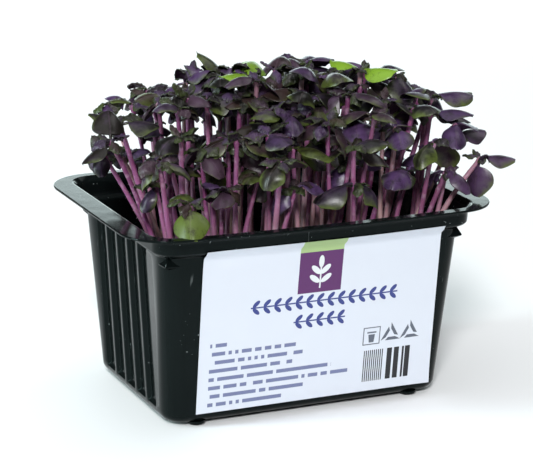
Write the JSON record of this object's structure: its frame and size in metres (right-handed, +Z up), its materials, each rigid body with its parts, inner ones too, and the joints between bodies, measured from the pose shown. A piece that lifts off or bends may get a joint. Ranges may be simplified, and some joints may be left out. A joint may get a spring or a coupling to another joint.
{
  "type": "tray of purple basil seedlings",
  "caption": "Deep black formed plastic tray with fluted ends and a plain white front label, filled with growing medium and a dense stand of young purple basil seedlings.",
  "frame": {"origin": "middle of the object's bounding box in plan, on the surface that the tray's four feet stand on", "axes": "+X along the tray's long side, to the right of someone facing the label; +Y away from the label; +Z up"},
  "size_m": [0.1588, 0.1064, 0.1216],
  "materials": {
    "black_plastic": "glossy black formed sheet",
    "peat": "dark crumbly peat",
    "label_paper": "smooth white label paper",
    "seedling": "purple and green leaf with pink stem"
  },
  "bodies": {
    "root": {"tray": "black_plastic", "growing_medium": "peat", "label": "label_paper", "seedling_01": "seedling", "seedling_02": "seedling", "seedling_03": "seedling", "seedling_04": "seedling", "seedling_05": "seedling", "seedling_06": "seedling", "seedling_07": "seedling", "seedling_08": "seedling", "seedling_09": "seedling", "seedling_10": "seedling", "seedling_11": "seedling", "seedling_12": "seedling", "seedling_13": "seedling", "seedling_14": "seedling", "seedling_15": "seedling", "seedling_16": "seedling", "seedling_17": "seedling", "seedling_18": "seedling", "seedling_19": "seedling", "seedling_20": "seedling", "seedling_21": "seedling", "seedling_22": "seedling", "seedling_23": "seedling", "seedling_24": "seedling", "seedling_25": "seedling", "seedling_26": "seedling", "seedling_27": "seedling", "seedling_28": "seedling", "seedling_29": "seedling", "seedling_30": "seedling", "seedling_31": "seedling", "seedling_32": "seedling", "seedling_33": "seedling", "seedling_34": "seedling", "seedling_35": "seedling", "seedling_36": "seedling", "seedling_37": "seedling", "seedling_38": "seedling", "seedling_39": "seedling", "seedling_40": "seedling", "seedling_41": "seedling", "seedling_42": "seedling", "seedling_43": "seedling", "seedling_44": "seedling", "seedling_45": "seedling", "seedling_46": "seedling", "seedling_47": "seedling", "seedling_48": "seedling", "seedling_49": "seedling", "seedling_50": "seedling", "seedling_51": "seedling", "seedling_52": "seedling", "seedling_53": "seedling", "seedling_54": "seedling", "seedling_55": "seedling", "seedling_56": "seedling", "seedling_57": "seedling"}
  },
  "joints": []
}
